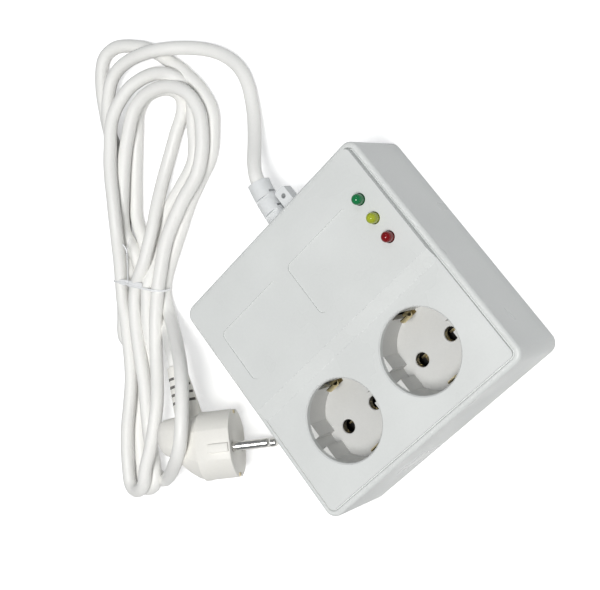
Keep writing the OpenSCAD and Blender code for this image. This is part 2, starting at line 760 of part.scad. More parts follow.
module control_chip() {
    color([0.1, 0.1, 0.1]) on_board(chip_at) linear_extrude(chip_size[2])
        square([chip_size[0], chip_size[1]], center = true);
}

// Routes of the insulated wires inside the housing
wire_r = 1.3;
bar_lie_z = bar_z + bar_t + wire_r;
live_notch_x = -16;
wire_gap = 5;
neutral_end_x = socket_pitch / 2 + pin_pitch / 2;
cord_end = [0, cord_end_y, outlet_z];
block_hole = [board_left + terminal_at + terminal_size[0] / 2, board_y + terminal_pitch, board_top + 4];

module wire_live_in() {
    color([0.4, 0.24, 0.14]) tube([
        cord_end + [-1.8, 0, 1], cord_end + [-1.8, -1.2, 1], [-5, cord_end_y - 2.1, board_z + 1.5],
        [-13, cord_end_y - 2.2, board_top + 2], block_hole + [9, board_d / 2 - 3.2, 2],
        block_hole + [3.6, board_d / 2 - 4.2, 3], block_hole + [2.2, board_d / 2 - 8, 2.6],
        block_hole + [2.2, 2.6, 0.8], block_hole + [1, 0.4, 0.1], block_hole + [-1.2, 0, 0]
    ], wire_r, 8);
}

module wire_live_out() {
    color([0.4, 0.24, 0.14]) tube([
        [12, board_front_y + 7, board_z], [12, board_front_y + 7, board_z - 1.2],
        [10, board_front_y + 4, board_z - 3.4], [2, ramp_top_y + 1, board_z - 5.5],
        [-8, ramp_foot_y, bar_lie_z + 1.2], [live_notch_x + 0.6, ramp_foot_y - 8, bar_lie_z],
        [live_notch_x, socket_y + bar_offset + 4, bar_lie_z],
        [live_notch_x, socket_y + bar_offset - 1.5, bar_lie_z]
    ], wire_r, 8);
}

module wire_neutral() {
    end_y = socket_y - bar_offset;
    turn_x = carrier_w / 2 + 5;
    color([0.2, 0.36, 0.7]) tube([
        cord_end + [1.8, 0, 1], cord_end + [1.8, -1.2, 0.8], [3.5, cord_end_y - 2.6, outlet_z - 1.5],
        [8, board_back_y - 1, board_z - 4.6], [15, board_back_y - 7, board_z - wire_gap],
        [30, board_y - 5, board_z - wire_gap], [42, ramp_top_y, bar_lie_z + 0.8],
        [turn_x, ramp_foot_y - 10, bar_lie_z], [turn_x + 0.5, socket_y, bar_lie_z],
        [turn_x - 1.5, end_y + 2.4, bar_lie_z], [turn_x - 5.5, end_y, bar_lie_z],
        [neutral_end_x, end_y, bar_lie_z]
    ], wire_r, 8);
}

module wire_earth() {
    clip_y = socket_y + clip_back + clip_t;
    color([0.55, 0.7, 0.2]) tube([
        cord_end + [0, 0, -2], cord_end + [-0.1, -1.2, -2.2], [-1.5, cord_end_y - 4, outlet_z - 4],
        [-4, board_back_y - 10, board_z - wire_gap], [-8, board_y - 6, board_z - wire_gap - 0.4],
        [-13, ramp_top_y + 3, board_z - 5], [-19, ramp_foot_y + 2.5, board_z - 3],
        [-24, ramp_foot_y + 0.2, floor_z - 3.4], [-socket_pitch / 2, clip_y + 1.6, floor_z - 2.6],
        [-socket_pitch / 2, clip_y, floor_z - 2.6]
    ], wire_r, 8);
}

// Slots across the bend relief, on its top and bottom and on its sides by turns
module relief_slots() {
    slotted_l = relief_bend_r * relief_turn * PI / 180 - collar_l;
    for (i = [0 : floor(slotted_l / slot_pitch - 0.7)]) {
        turn = (i + (i % 2 == 0 ? 1.2 : 0.7)) * slot_pitch / (relief_bend_r * PI / 180);
        translate([relief_bend_r, relief_start_y, outlet_z]) rotate(-turn) translate([-relief_bend_r, 0, 0])
            for (s = [-1, 1])
                if (i % 2 == 0)
                    translate([0, 0, s * (cord_r + 0.3 + relief_r / 2)])
                        cube([1.5 * relief_r, slot_w, relief_r], center = true);
                else
                    translate([s * (cord_r + 0.3 + relief_r / 2), 0, 0])
                        cube([relief_r, slot_w, relief_r], center = true);
    }
}

module strain_relief() {
    eye_x = relief_r + 1.8 + eye_w / 2;
    eye_end = outer_wall_y + eye_l - eye_w / 2;
    color([0.8, 0.81, 0.81]) {
        difference() {
            translate([relief_bend_r, relief_start_y, outlet_z]) rotate(180 - relief_turn)
                rotate_extrude(angle = relief_turn, $fn = 360) translate([relief_bend_r, 0]) circle(relief_r);
            relief_slots();
        }
        difference() {
            union() {
                translate([-foot_w / 2, outer_wall_y, outlet_z - foot_h / 2]) cube([foot_w, foot_t + 0.01, foot_h]);
                translate([eye_x - eye_w / 2, outer_wall_y, outlet_z - eye_w / 2])
                    cube([eye_w, eye_l - 1.2, eye_w]);
                translate([eye_x - eye_w / 2 + 1.2, outer_wall_y, outlet_z - eye_w / 2])
                    cube([eye_w - 2.4, eye_l, eye_w]);
                for (s = [-1, 1])
                    translate([eye_x + s * (eye_w / 2 - 1.2), outer_wall_y + eye_l - 1.2, outlet_z - eye_w / 2])
                        cylinder(r = 1.2, h = eye_w);
            }
            translate([eye_x, eye_end - 1, outlet_z - foot_h / 2 - past])
                cylinder(d = eye_hole_d, h = foot_h + 2 * past);
        }
        translate([-neck_w / 2, inner_wall_y - ease - 0.5, outlet_z - neck_h / 2])
            cube([neck_w, outer_wall_y - inner_wall_y + ease + 1, neck_h]);
        translate([-foot_w / 2, inner_flange_y, outlet_z - foot_h / 2])
            cube([foot_w, inner_flange_t, foot_h]);
    }
}

module cord_inner_end() {
    color([0.93, 0.93, 0.91]) translate([0, inner_flange_y, outlet_z]) rotate([90, 0, 0])
        cylinder(r = cord_r, h = inner_flange_y - cord_end_y);
}

module cord_clamp() {
    bar_top = outlet_z - clamp_gap;
    color([0.85, 0.85, 0.83]) difference() {
        translate([-clamp_span / 2 - 4, clamp_y - 4, bar_top - clamp_bar_t])
            cube([clamp_span + 8, 8, clamp_bar_t]);
        translate([0, clamp_y, outlet_z]) rotate([90, 0, 0]) cylinder(r = cord_r, h = 20, center = true);
        for (s = [-1, 1]) translate([s * clamp_span / 2, clamp_y, 0])
            cylinder(r = screw_hole_r + 0.1, h = body_h);
    }
}

module clamp_screws() {
    color("silver") for (s = [-1, 1])
        translate([s * clamp_span / 2, clamp_y, outlet_z - clamp_gap - clamp_bar_t])
            screw(clamp_bar_t + 7);
}

module plug_frame() {
    translate(plug_at) rotate(plug_turn) children();
}

// Round front of the plug, its axis along +X, flats above and below with a key rib
module plug_front(extra = 0) {
    rib_top = plug_d / 2 - 0.8;
    intersection() {
        translate([-plug_front_l, 0, 0]) rotate([0, 90, 0])
            cylinder(d = plug_d, h = plug_front_l + extra, $fn = 96);
        union() {
            translate([-plug_front_l, -plug_d / 2, -plug_flat_span / 2])
                cube([plug_front_l + extra, plug_d, plug_flat_span]);
            translate([-plug_front_l, -plug_rib_w / 2, -rib_top])
                cube([plug_front_l + extra, plug_rib_w, 2 * rib_top]);
        }
    }
}

module sleeve_slots() {
    pitch = 4.2;
    first = 13;
    count = floor((sleeve_l - first - 3) / pitch);
    for (i = [0 : count], s = [-1, 1], t = [-1, 1]) {
        at = first + i * pitch;
        r = sleeve_root_r + (sleeve_tip_r - sleeve_root_r) * at / sleeve_l;
        translate([s * (cord_r + 0.4 + 1.6), t * (cord_r + 1.2), at])
            cube([3.2, 2 * (r - cord_r) + 1.4, 1.5], center = true);
    }
}

module plug_body() {
    back_x = plug_back_r - plug_l;
    notch_w = 6.4;
    color([0.96, 0.95, 0.9]) plug_frame() difference() {
        union() {
            plug_front();
            hull() {
                translate([-plug_front_l, 0, 0]) rotate([0, 90, 0])
                    cylinder(d = plug_flat_span + 2, h = 1.5, $fn = 48);
                for (y = [2, 11]) translate([back_x, y, 0]) sphere(plug_back_r, $fn = 32);
            }
            translate(sleeve_from) rotate([-90, 0, sleeve_lean])
                cylinder(r1 = sleeve_root_r, r2 = sleeve_tip_r, h = sleeve_l);
        }
        translate(sleeve_from) rotate([-90, 0, sleeve_lean]) sleeve_slots();
        for (s = [-1, 1]) {
            translate([-pin_root, 0, s * pin_pitch / 2]) rotate([0, 90, 0])
                cylinder(r = pin_stem_r, h = pin_root + past);
            translate([-plug_front_l + 2.5, s > 0 ? plug_d / 2 - 3 : -plug_d / 2 - past, -notch_w / 2])
                cube([plug_front_l + past, 3 + past, notch_w]);
        }
    }
}

// Round pin with a turned groove near its domed tip
module plug_pin(side) {
    r = pin_d / 2;
    dome = 1.6;
    groove_at = pin_root + pin_l - 4.6;
    color("silver") plug_frame()
        translate([-pin_root, 0, side * pin_pitch / 2]) rotate([0, 90, 0]) rotate_extrude() difference() {
            union() {
                square([pin_stem_r, pin_root + 1]);
                translate([0, pin_root]) square([r, pin_l - dome]);
                translate([0, pin_root + pin_l - dome]) square([r - dome, dome]);
                translate([r - dome, pin_root + pin_l - dome]) circle(dome);
            }
            translate([r - 0.3, groove_at]) square([1, 0.8]);
            translate([-2 * r, 0]) square([2 * r, pin_root + pin_l]);
        }
}

module plug_earth_strip() {
    strip_t = 0.8;
    strip_w = 5;
    color([0.85, 0.75, 0.45]) plug_frame() for (s = [-1, 1]) mirror([0, s > 0 ? 0 : 1, 0])
        translate([0, 0, -strip_w / 2]) linear_extrude(strip_w) polygon([
            [-plug_front_l + 2.5, plug_d / 2 - 3], [-0.4, plug_d / 2 - 3],
            [-0.4, plug_d / 2 - 3 + strip_t], [-4, plug_d / 2 - 1.2],
            [-9, plug_d / 2 - 0.5], [-plug_front_l + 2.5, plug_d / 2 - 1.4]
        ]);
}

// Outline of the tied hank: two loops spread at its head, a waist and a narrow foot
module hank_outline() {
    hull() {
        for (c = hank_loops) translate([c[0], c[1]]) circle(c[2], $fn = 40);
        translate([0, waist_across]) circle(waist_r, $fn = 40);
    }
    hull() {
        for (c = hank_foot) translate([c[0], c[1]]) circle(c[2], $fn = 40);
        translate([0, waist_across]) circle(waist_r, $fn = 40);
    }
}

module tie_band(inner_w, inner_h, w) {
    translate([-w / 2, waist_across, hank_h / 2]) rotate([90, 0, 90]) linear_extrude(w) difference() {
        round_rect(inner_w + 2 * tie_t, inner_h + 2 * tie_t, 4);
        round_rect(inner_w, inner_h, 4 - tie_t);
    }
}

waist_inner_w = 2 * waist_r - 2.4;
waist_inner_h = hank_h - 2 * tie_t;
module cord_hank() {
    color([0.94, 0.94, 0.92]) translate(hank_at) rotate(hank_turn) difference() {
        linear_extrude(hank_h) hank_outline();
        translate([-tie_w / 2 - ease, waist_across, hank_h / 2]) rotate([90, 0, 90])
            linear_extrude(tie_w + 2 * ease) difference() {
                square([2 * waist_r + 10, hank_h + 2 * past], center = true);
                round_rect(waist_inner_w - ease, waist_inner_h - ease, 4 - tie_t);
            }
    }
}

module cord_tie() {
    color([0.95, 0.96, 0.96]) translate(hank_at) rotate(hank_turn)
        tie_band(waist_inner_w, waist_inner_h, tie_w);
}

module cord_lead() {
    color([0.94, 0.94, 0.92]) tube(lead_route, cord_r, cord_sides);
}

module cord_bight() {
    color([0.94, 0.94, 0.92]) tube(bight_route, cord_r, cord_sides);
}

module cord_tail() {
    color([0.94, 0.94, 0.92]) tube(tail_route, cord_r, cord_sides);
}

housing();
base_plate();
base_screws();
color([0.86, 0.85, 0.83]) translate([-socket_pitch / 2, socket_y, 0]) socket_cup();  // socket_cup_left
color([0.86, 0.85, 0.83]) translate([socket_pitch / 2, socket_y, 0]) socket_cup();  // socket_cup_right
color([0.8, 0.68, 0.35]) translate([-socket_pitch / 2, socket_y, 0]) earth_clip();  // earth_clip_left
color([0.8, 0.68, 0.35]) translate([socket_pitch / 2, socket_y, 0]) earth_clip();  // earth_clip_right
contact_carrier();
carrier_screws();
color([0.8, 0.68, 0.35]) contact_bar(1);  // live_bar
color([0.8, 0.68, 0.35]) contact_bar(-1);  // neutral_bar
signal_lamp(1, [0.05, 0.45, 0.2]);  // led_green
signal_lamp(0, [0.75, 0.75, 0.1]);  // led_yellow
signal_lamp(-1, [0.65, 0.05, 0.08]);  // led_red
circuit_board();
board_screws();
relay();
film_capacitor();
varistor(0);  // varistor_live_neutral
varistor(1);  // varistor_live_earth
varistor(2);  // varistor_neutral_earth
fuse();
fuse_clips();
terminal_block();
electrolytic_capacitor();
control_chip();
wire_live_in();
wire_live_out();
wire_neutral();
wire_earth();
strain_relief();
cord_inner_end();
cord_clamp();
clamp_screws();
plug_body();
plug_pin(1);  // plug_pin_upper
plug_pin(-1);  // plug_pin_lower
plug_earth_strip();
cord_lead();
cord_hank();
cord_bight();
cord_tail();
cord_tie();
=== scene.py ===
"""Surge protector block with two sockets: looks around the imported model.

Metres, in the model's own frame: the block's base is centred on the origin,
+X runs along the sockets towards the lamps and +Y towards the cord's wall.
"""

import json
from math import cos, pi, radians, sin

import bmesh
import bpy
from mathutils import Euler, Matrix, Vector


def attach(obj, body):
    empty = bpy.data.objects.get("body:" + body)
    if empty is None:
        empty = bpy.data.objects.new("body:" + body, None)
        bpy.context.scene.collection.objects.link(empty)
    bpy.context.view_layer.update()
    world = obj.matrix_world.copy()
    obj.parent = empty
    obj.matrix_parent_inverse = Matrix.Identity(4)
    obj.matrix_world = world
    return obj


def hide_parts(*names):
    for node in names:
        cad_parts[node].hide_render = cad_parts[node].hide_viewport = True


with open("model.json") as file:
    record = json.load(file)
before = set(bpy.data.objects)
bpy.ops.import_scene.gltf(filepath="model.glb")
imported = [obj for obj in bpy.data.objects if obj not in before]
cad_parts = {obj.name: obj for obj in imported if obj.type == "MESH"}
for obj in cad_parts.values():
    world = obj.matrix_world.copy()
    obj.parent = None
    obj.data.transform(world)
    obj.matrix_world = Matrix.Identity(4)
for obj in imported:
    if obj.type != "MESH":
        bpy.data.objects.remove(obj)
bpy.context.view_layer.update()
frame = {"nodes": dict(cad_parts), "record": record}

MM = 0.001

# Camera, fitted to the block's edges, wells and lamps in the photograph
CAMERA_PLACE = (0.23715, -0.12787, 0.5029)
CAMERA_TURN = (-0.0908, 0.5507, -0.7400)
CAMERA_LENS = 70.19
CAMERA_SENSOR = 36.0
CAMERA_REACH = (0.01, 20)

# Cord
CORD_DIAMETER = 0.0072
CORD_CURVE_STEPS = 5
CORD_ROUND_STEPS = 5
LENGTH_STEPS = 12
# The hank lies round its tie, turned about Z by this many degrees
TIE_PLACE = Vector((-96.0, 107.0, 0.0)) * MM
HANK_TURN = 46.8
# Stretch from the block to the hank's head
LEAD = (
    (2.8, 89.7, 21), (3.6, 92.8, 20.9), (5, 97.6, 19.2), (7, 103.5, 15.6), (9.5, 110, 11.5),
    (12.5, 117, 7.8), (16, 124, 5.2), (19.5, 131, 3.9), (23, 138, 3.6), (25, 145, 3.6),
    (25, 152, 3.6), (23, 159.5, 3.7),
)
# Turns of the hank: along it from the tie, across it, height
HANK = (
    # over the head of the hank
    (122, 45, 4.2), (123.4, 39.4, 4.6), (124.3, 32.7, 5.6), (124.6, 26.4, 7.2),
    (124.3, 18.1, 9.6), (123.5, 10.1, 10.8), (122.5, 4.3, 10.8), (120.5, -3.7, 10.2),
    (117.8, -10.6, 9.6),
    # down the left side
    (114, -16.5, 9), (108.7, -20.7, 8.6), (102.8, -22.6, 8.4), (96.6, -23.4, 8.4),
    (90.8, -23.2, 8.8), (84.3, -21.9, 9.4), (77.8, -20.5, 8.6), (71.9, -19.7, 5.4),
    (64.3, -18.8, 4), (54.5, -18.1, 3.6), (44.7, -17.1, 3.6), (28, -15.6, 3.6),
    (12, -12.6, 3.6), (0, -10, 3.6), (-13, -8.2, 3.6), (-24, -7, 3.6),
    # short fold under the others
    (-28.6, -6.8, 3.6), (-32.4, -8.2, 3.6), (-34, -11.8, 3.6), (-32.4, -15.4, 3.6),
    (-28.6, -16.8, 3.6), (-22, -16.8, 3.6),
    # up again and round the outermost loop
    (-12, -16.9, 3.6), (0, -17.5, 3.6), (12, -19.4, 3.6), (22.5, -20.6, 3.6),
    (44.5, -24.1, 3.6), (61, -26.2, 3.6), (73.6, -26.1, 3.6), (80.2, -26.1, 3.6),
    (86, -27.8, 3.6), (93.4, -29.6, 3.6), (99.7, -31, 3.6), (106, -31.9, 3.6),
    (111.3, -32.1, 3.6), (116.5, -31.7, 3.6), (121.7, -30, 3.6), (125.2, -26.5, 3.6),
    (127.3, -21.7, 3.6), (127.9, -15.6, 3.6), (127.3, -7.5, 3.6), (125.8, 0.4, 3.6),
    (123.6, 5.9, 3.6), (120.5, 11.7, 3.6), (116.7, 18.1, 3.6), (114, 22.8, 3.6),
    (110.8, 27, 3.6), (107.1, 31.8, 3.6), (103.9, 35.1, 3.6), (100, 38.3, 3.6),
    (96, 41.2, 3.6), (92.6, 42.8, 3.6), (88.8, 43.6, 3.6), (83.5, 43.7, 3.6),
    (76.1, 43.4, 3.6), (70.2, 42.5, 3.6), (65.4, 40.8, 3.6), (60.4, 37.9, 3.6),
    (55.6, 35, 3.6), (50.6, 32.2, 3.6), (45.5, 29.4, 3.6), (40.5, 27.1, 3.6), (30, 23, 3.6),
    (20.2, 19.1, 3.6), (11.5, 15.6, 3.6), (4.9, 13.4, 3.6), (-1.7, 12, 3.6),
    # out of the tie and over the plug
    (-6.6, 12.4, 3.8), (-14.9, 16.3, 5.6), (-20, 21.8, 10), (-24.8, 28, 15.6),
    (-31.6, 36.6, 24), (-37.9, 43.7, 31.2), (-44.5, 48.1, 36), (-51.4, 50.7, 39),
    (-58.6, 52.2, 41), (-65.7, 52.8, 42.2), (-72.5, 52.5, 42.5), (-78.6, 50.8, 41.4),
    (-84.3, 47.1, 38.4), (-89.9, 41.1, 32.6), (-95.5, 33.8, 25), (-100.4, 26.5, 17.6),
    (-104.5, 19.4, 10.6), (-107.4, 13.6, 6),
    # back under both folds at the foot
    (-106.6, 8.6, 4.4), (-103.6, 5, 3.6), (-97, 3.1, 3.6), (-88, 2.4, 3.6), (-75, 3, 3.6),
    (-63, 4, 3.6), (-52, 5, 4), (-42, 5.6, 5.2), (-31, 5.2, 7.4), (-20, 4.8, 9.4),
    (-10, 5.4, 10.4), (0, 6.1, 10.7),
    # up the right side and round the second loop
    (4.9, 7.6, 9.6), (11.3, 7.8, 7.4), (19.9, 8.7, 5.4), (28.5, 10.5, 4.2), (37.2, 12.7, 3.6),
    (44.5, 17.4, 3.6), (48.4, 20.2, 3.6), (53.9, 23.9, 3.6), (59.4, 27.7, 3.6),
    (64.9, 30.5, 3.6), (70.2, 31.7, 3.6), (75.6, 31.7, 3.6), (83.7, 30.8, 3.6),
    (91.1, 30.6, 3.6), (96.8, 30.2, 3.6), (101.4, 28.6, 3.6), (105.2, 26.4, 4.6),
    (108, 24.3, 6.6), (110.3, 21.2, 9), (111.8, 12.7, 9.8), (110.5, 4.9, 10),
    (107.8, -1, 10.8), (104.8, -5.2, 11.8), (98.2, -10, 13.6), (92.7, -12.7, 15),
    (87.9, -14.1, 15.8), (81.7, -14.8, 16.4), (74.3, -14.9, 16.6), (63.6, -14.5, 17.4),
    (44.9, -11.9, 18), (28.2, -10.3, 17.2), (19.5, -10.8, 15.2), (10.7, -11.8, 12.6),
    (-2.7, -12.6, 10.2),
    # down the left on top, round the upper fold and up to the third loop
    (-11.4, -11.6, 10.2), (-20.1, -9.5, 10.4), (-27.1, -8.4, 10.6), (-38, -6.7, 10.8),
    (-51.2, -5.6, 10.8), (-64.6, -6.5, 10.8), (-78.5, -8.2, 10.8), (-91.5, -8.6, 10.8),
    (-104.3, -7.5, 10.8), (-109.5, -6.7, 10.9), (-112.4, -5, 11.4), (-113.9, -2.4, 12.2),
    (-113.9, 0.6, 13.2), (-112.2, 4.3, 14.8), (-109, 7.4, 16.4), (-104.6, 9.2, 17.6),
    (-100, 10.1, 18), (-90.3, 12.9, 18), (-84.1, 14.4, 18), (-74.4, 16, 17.6),
    (-61.4, 16.3, 15.6), (-49, 13.8, 12.6), (-36.4, 11.7, 10.8), (-18.5, 11.5, 10.8),
    (-1.1, 13.1, 10.8), (11.8, 15.6, 10.8), (20.5, 17.6, 10.8), (29.1, 20.8, 10.8),
    (36.6, 24.7, 10.8), (44.5, 29, 10.8), (49.3, 32.2, 10.8), (54, 35.6, 10.8),
    (59.4, 38.7, 10.8), (67.4, 41.1, 10.8), (75.3, 42, 10.8), (83.3, 41.5, 10.8),
    (88.8, 40.7, 10.8), (94.1, 38.2, 10.8), (99, 34.4, 10.8), (102.7, 28.9, 10.8),
    (104.7, 21.4, 10.8), (104.1, 13.3, 10.8), (101.7, 6.5, 10.8), (98.1, 1.2, 10.8),
    (93.4, -2.8, 10.8), (87.4, -5.4, 10.8), (79.7, -7.4, 10.8), (72.8, -8.9, 10.8),
    (63.7, -10.1, 10.8), (44.8, -11.2, 10.8), (35.1, -11.7, 10.2), (27.4, -11.2, 9),
    # down to the lower fold and back to the tie
    (20, -8.2, 6.8), (8, -4.4, 4.4), (0, -2.8, 3.6), (-14, -0.9, 3.6), (-28, 0.2, 3.6),
    (-42, -0.6, 3.6), (-58, -2.8, 3.6), (-79.2, -5.5, 3.6), (-88.2, -5.3, 3.6),
    (-96.6, -4.8, 3.6), (-105.1, -4.5, 3.6), (-109.6, -4.4, 3.6), (-112.5, -3.1, 4.1),
    (-114.1, -0.3, 5.3), (-113.7, 3.3, 7), (-112.2, 7.1, 8.8), (-109.5, 10, 10.2),
    (-105.8, 11.1, 10.8), (-101.4, 10.9, 10.8), (-93.2, 9.6, 10.8), (-86.3, 7.9, 10.8),
    (-74.3, 6, 10.8), (-60.7, 4.3, 10.8), (-52.5, 3.4, 10.9), (-42.7, 1.7, 11.2),
    (-30.8, -0.6, 11.2), (-19.5, -2.1, 11.2), (-2, -1.7, 11.4),
    # up the middle and round the inner loop
    (4.9, 2.3, 13), (11.5, 5.6, 13.4), (20.2, 8.1, 13), (28.8, 10, 12), (41, 11.2, 9.8),
    (48.3, 11.9, 8), (56.5, 12.9, 6), (64.8, 14.7, 4.6), (73, 17, 3.8), (81.2, 19.7, 3.6),
    (88.7, 22.8, 3.6), (94.4, 24.1, 3.6), (98.8, 23.1, 3.6), (102, 20, 3.6),
    (103.6, 15.4, 3.6), (103.8, 9.3, 3.6), (102.4, 3.5, 3.6), (99.2, -2, 3.6),
    (94.5, -5.3, 3.6), (89.1, -6.9, 3.6), (82.7, -7.1, 3.6), (74.3, -7.4, 3.6),
    (63.8, -7.8, 3.6), (44.9, -7.9, 3.6), (35, -7.3, 3.6),
    # from the tie into the plug's sleeve
    (26, -3.8, 3.6), (14, 1, 3.6), (0, 4.4, 3.6), (-10, 7, 3.6), (-18, 11.4, 3.9),
    (-24, 16.2, 6.8), (-29, 21.7, 12), (-33, 27.3, 17.5), (-36.9, 32.4, 22),
    (-40.7, 34.1, 22.7),
)


# ---------------------------------------------------------------- tools

def deselect():
    for found in list(bpy.context.selected_objects):
        found.select_set(False)


def pick(piece):
    deselect()
    piece.select_set(True)
    bpy.context.view_layer.objects.active = piece


def keep_place_in_mesh(piece):
    pick(piece)
    bpy.ops.object.transform_apply(location=True, rotation=True, scale=True)


def apply_modifiers(piece):
    pick(piece)
    for modifier in list(piece.modifiers):
        bpy.ops.object.modifier_apply(modifier=modifier.name)


def dress(piece, material, slot, *nodes):
    piece.data.materials.clear()
    piece.data.materials.append(material)
    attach(piece, "root")
    if nodes:
        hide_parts(*nodes)


def hank_place(along, across, height):
    turn = radians(HANK_TURN)
    return TIE_PLACE + MM * Vector((
        along * cos(turn) + across * sin(turn),
        along * sin(turn) - across * cos(turn),
        height,
    ))


# ---------------------------------------------------------------- camera

def add_camera():
    bpy.ops.object.camera_add(location=CAMERA_PLACE, rotation=CAMERA_TURN)
    camera = bpy.context.object
    camera.name = "photo_camera"
    camera.data.sensor_width = CAMERA_SENSOR
    camera.data.lens = CAMERA_LENS
    camera.data.clip_start, camera.data.clip_end = CAMERA_REACH
    bpy.context.scene.camera = camera


# ---------------------------------------------------------------- cord

def curve_length(spline):
    total = 0.0
    for a, b in zip(spline.bezier_points, spline.bezier_points[1:]):
        last = a.co.copy()
        for k in range(1, LENGTH_STEPS + 1):
            t = k / LENGTH_STEPS
            u = 1 - t
            here = (u ** 3 * a.co + 3 * u * u * t * a.handle_right
                    + 3 * u * t * t * b.handle_left + t ** 3 * b.co)
            total += (here - last).length
            last = here
    return total


def add_cord():
    places = [Vector(p) * MM for p in LEAD]
    places += [hank_place(*p) for p in HANK]
    bpy.ops.curve.primitive_bezier_curve_add(location=(0, 0, 0))
    cord = bpy.context.object
    cord.name = "mains_cord"
    spline = cord.data.splines[0]
    spline.bezier_points.add(len(places) - 2)
    for point, place in zip(spline.bezier_points, places):
        point.handle_left_type = point.handle_right_type = "AUTO"
        point.co = place
    spline.resolution_u = CORD_CURVE_STEPS
    cord.data.dimensions = "3D"
    cord.data.bevel_depth = CORD_DIAMETER / 2
    cord.data.bevel_resolution = CORD_ROUND_STEPS
    cord.data.use_fill_caps = True
    bpy.context.view_layer.update()
    return cord, curve_length(spline)


add_camera()
mains_cord, cord_length = add_cord()
print("cord length", round(cord_length, 4))


# ---------------------------------------------------------------- finishes

# Noise: cells per metre
CLOUDS = 32
SPECKS = 900
TARNISH = 160
# Drawn lines are this much longer along X than across
LINE_STRETCH = (0.06, 1, 1)
GRAIN_DEPTH = 0.2 * MM
# Painted shade: the pin holes are darkened below this height, half a millimetre under the sockets'
# floors
HOLE_PAINTED_SHADE_FROM = 24.6 * MM
HOLE_PAINTED_SHADE_FADE = 0.6 * MM
HOLE_PAINTED_SHADE = 0.08
# Painted shade on the walls of the sleeve's slots: how much of the colour stays
SLOT_PAINTED_SHADE = 0.22
# Height given to finishes that get no painted shade in holes
NO_PAINTED_SHADE = -1.0


def new_group(name, *more):
    group = bpy.data.node_groups.new(name, "ShaderNodeTree")
    for socket in ("Roughness", "Scale", "Mottle", *more):
        group.interface.new_socket(socket, in_out="INPUT", socket_type="NodeSocketFloat")
    for socket in ("Roughness", "Height"):
        group.interface.new_socket(socket, in_out="OUTPUT", socket_type="NodeSocketFloat")
    for way in ("INPUT", "OUTPUT"):
        group.interface.new_socket("Colour", in_out=way, socket_type="NodeSocketColor")
    nodes = group.nodes
    return group, nodes.new("NodeGroupInput"), nodes.new("NodeGroupOutput")


def add_noise(group, place, scale, detail):
    noise = group.nodes.new("ShaderNodeTexNoise")
    noise.inputs["Scale"].default_value = scale
    noise.inputs["Detail"].default_value = detail
    group.links.new(place, noise.inputs["Vector"])
    return noise.outputs["Fac"]


def add_math(tree, operation, a, b):
    node = tree.nodes.new("ShaderNodeMath")
    node.operation = operation
    for socket, value in zip(node.inputs, (a, b)):
        if isinstance(value, (int, float)):
            socket.default_value = value
        else:
            tree.links.new(value, socket)
    return node.outputs[0]


def add_range(group, value, low, high, to_low, to_high):
    node = group.nodes.new("ShaderNodeMapRange")
    for name, number in zip(("From Min", "From Max", "To Min", "To Max"),
                            (low, high, to_low, to_high)):
        node.inputs[name].default_value = number
    group.links.new(value, node.inputs["Value"])
    return node.outputs["Result"]


def add_scaled(group, place, given):
    scaled = group.nodes.new("ShaderNodeVectorMath")
    scaled.operation = "SCALE"
    group.links.new(place, scaled.inputs[0])
    group.links.new(given.outputs["Scale"], scaled.inputs["Scale"])
    return scaled.outputs[0]


def put_out(group, given, out, value, dull, height):
    """Colour at the given value, roughness with the dull part added, and height."""
    tint = group.nodes.new("ShaderNodeHueSaturation")
    group.links.new(given.outputs["Colour"], tint.inputs["Color"])
    group.links.new(value, tint.inputs["Value"])
    group.links.new(tint.outputs["Color"], out.inputs["Colour"])
    rough = add_math(group, "ADD", given.outputs["Roughness"], dull)
    group.links.new(rough, out.inputs["Roughness"])
    group.links.new(height, out.inputs["Height"])


def make_moulded_group():
    """Moulded plastic: spark-eroded grain, faint flow clouds, duller patches, and painted shade in
    the pin holes and the sleeve's slots.
    """
    group, given, out = new_group("moulded_grain", "Painted shade below")
    mottle = given.outputs["Mottle"]
    place = group.nodes.new("ShaderNodeTexCoord").outputs["Object"]
    clouds = add_noise(group, place, CLOUDS, 3)
    specks = add_noise(group, place, SPECKS, 2)
    grain = add_noise(group, add_scaled(group, place, given), 1, 2)
    tone = add_math(group, "MULTIPLY", add_range(group, clouds, 0.3, 0.7, -1, 1), mottle)
    fleck = add_math(group, "MULTIPLY", add_range(group, specks, 0.35, 0.65, -0.4, 0.4), mottle)
    value = add_math(group, "ADD", add_math(group, "ADD", tone, fleck), 1)
    # painted shade in the pin holes below a level
    apart = group.nodes.new("ShaderNodeSeparateXYZ")
    group.links.new(place, apart.inputs[0])
    above = add_math(group, "SUBTRACT", apart.outputs["Z"], given.outputs["Painted shade below"])
    holes = add_range(group, above, -HOLE_PAINTED_SHADE_FADE, 0, HOLE_PAINTED_SHADE, 1)
    value = add_math(group, "MULTIPLY", value, holes)
    # painted shade on the walls of the sleeve's slots, which carry their own mark
    slots = group.nodes.new("ShaderNodeAttribute")
    slots.attribute_name = "slot_painted_shade"
    slots = add_range(group, slots.outputs["Fac"], 0, 1, 1, SLOT_PAINTED_SHADE)
    value = add_math(group, "MULTIPLY", value, slots)
    dull = add_range(group, clouds, 0.3, 0.7, -0.12, 0.12)
    put_out(group, given, out, value, dull, grain)
    return group


def make_metal_group():
    """Drawn or stamped metal: fine lines along X, tarnish clouds."""
    group, given, out = new_group("drawn_metal")
    place = group.nodes.new("ShaderNodeTexCoord").outputs["Object"]
    stretch = group.nodes.new("ShaderNodeVectorMath")
    stretch.operation = "MULTIPLY"
    stretch.inputs[1].default_value = LINE_STRETCH
    group.links.new(place, stretch.inputs[0])
    lines = add_noise(group, add_scaled(group, stretch.outputs[0], given), 1, 3)
    tarnish = add_range(group, add_noise(group, place, TARNISH, 4), 0.35, 0.65, -1, 1)
    tone = add_math(group, "MULTIPLY", tarnish, given.outputs["Mottle"])
    dull = add_range(group, lines, 0.3, 0.7, -0.08, 0.1)
    put_out(group, given, out, add_math(group, "ADD", tone, 1), dull, lines)
    return group


